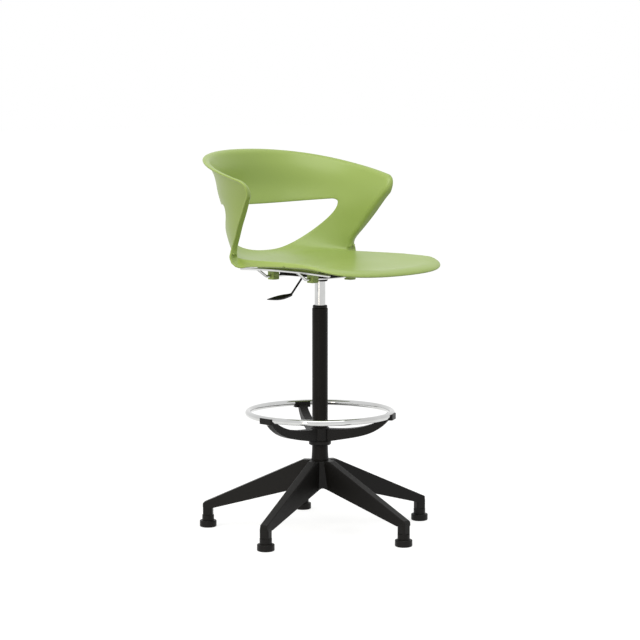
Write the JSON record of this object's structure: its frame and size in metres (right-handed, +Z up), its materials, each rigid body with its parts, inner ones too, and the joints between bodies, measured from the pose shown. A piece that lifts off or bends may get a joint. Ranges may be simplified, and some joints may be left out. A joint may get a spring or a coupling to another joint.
{
  "type": "drafting chair",
  "caption": "Height-adjustable drafting chair: one-piece plastic shell with wrap-round back on a gas column, with foot ring, lift lever and star base on glides.",
  "frame": {"origin": "column axis where it meets the floor", "axes": "+Z up along the column, -Y towards the front of the seat, +X to the sitter's left"},
  "size_m": [0.6562, 0.6559, 1.0615],
  "materials": {
    "shell_plastic": "fine satin moulded polypropylene, leaf green",
    "black_plastic": "satin moulded nylon, black",
    "black_paint": "satin powder coat, black",
    "chrome": "polished chrome plating",
    "steel": "plain turned or pressed steel",
    "black_rubber": "matte rubber",
    "acetal": "natural moulded acetal",
    "pad_plastic": "soft matte glide pad"
  },
  "bodies": {
    "base": {"base_star": "black_plastic", "glide_1": "black_plastic", "glide_2": "black_plastic", "glide_3": "black_plastic", "glide_4": "black_plastic", "glide_5": "black_plastic", "glide_pins": "steel", "glide_pads": "pad_plastic", "hub_sleeve": "black_paint", "column_tube": "black_paint", "guide_bush": "black_plastic", "tube_end_disc": "steel", "bearing_race_lower": "steel", "bearing_race_upper": "steel", "bearing_balls": "steel", "bearing_cage": "steel", "ring_spider": "black_plastic", "foot_ring": "chrome", "ring_screws": "steel", "ring_set_screw": "steel"},
    "gas_rod": {"piston_rod": "steel", "rod_washer": "steel", "rod_clip": "steel", "stop_buffer": "black_rubber", "gas_piston": "steel", "piston_ring": "black_rubber"},
    "seat": {"gas_cylinder": "chrome", "cylinder_seal": "acetal", "valve_block": "steel", "seat_plate": "black_paint", "plate_socket": "black_paint", "seat_frame": "chrome", "seat_shell": "shell_plastic", "shell_clip_1": "shell_plastic", "shell_clip_2": "shell_plastic", "shell_clip_3": "shell_plastic", "shell_clip_4": "shell_plastic", "clip_screws": "steel", "lever_pin": "steel"},
    "lever": {"lever_rod": "black_paint", "lever_paddle": "black_plastic"},
    "button": {"release_button": "steel"}
  },
  "joints": [
    {"name": "seat_swivel", "type": "hinge", "parent": "base", "child": "gas_rod", "pos_m": [0, 0, 0.14], "axis": [0, 0, 1], "continuous": true},
    {"name": "seat_height", "type": "slide", "parent": "gas_rod", "child": "seat", "axis": [0, 0, 1], "range_m": [-0.045, 0.15]},
    {"name": "lever_lift", "type": "hinge", "parent": "seat", "child": "lever", "pos_m": [-0.036, 0, 0.735], "axis": [0, 1, 0], "range_deg": [0, 6], "stiffness_Nm_per_rad": 1.5, "springref_deg": -5.73},
    {"name": "button_push", "type": "slide", "parent": "seat", "child": "button", "axis": [0, 0, -1], "range_m": [0, 0.0045]}
  ],
  "couplings": [
    {"joint": "button_push", "follows": "lever_lift", "m_per_rad": 0.036}
  ]
}
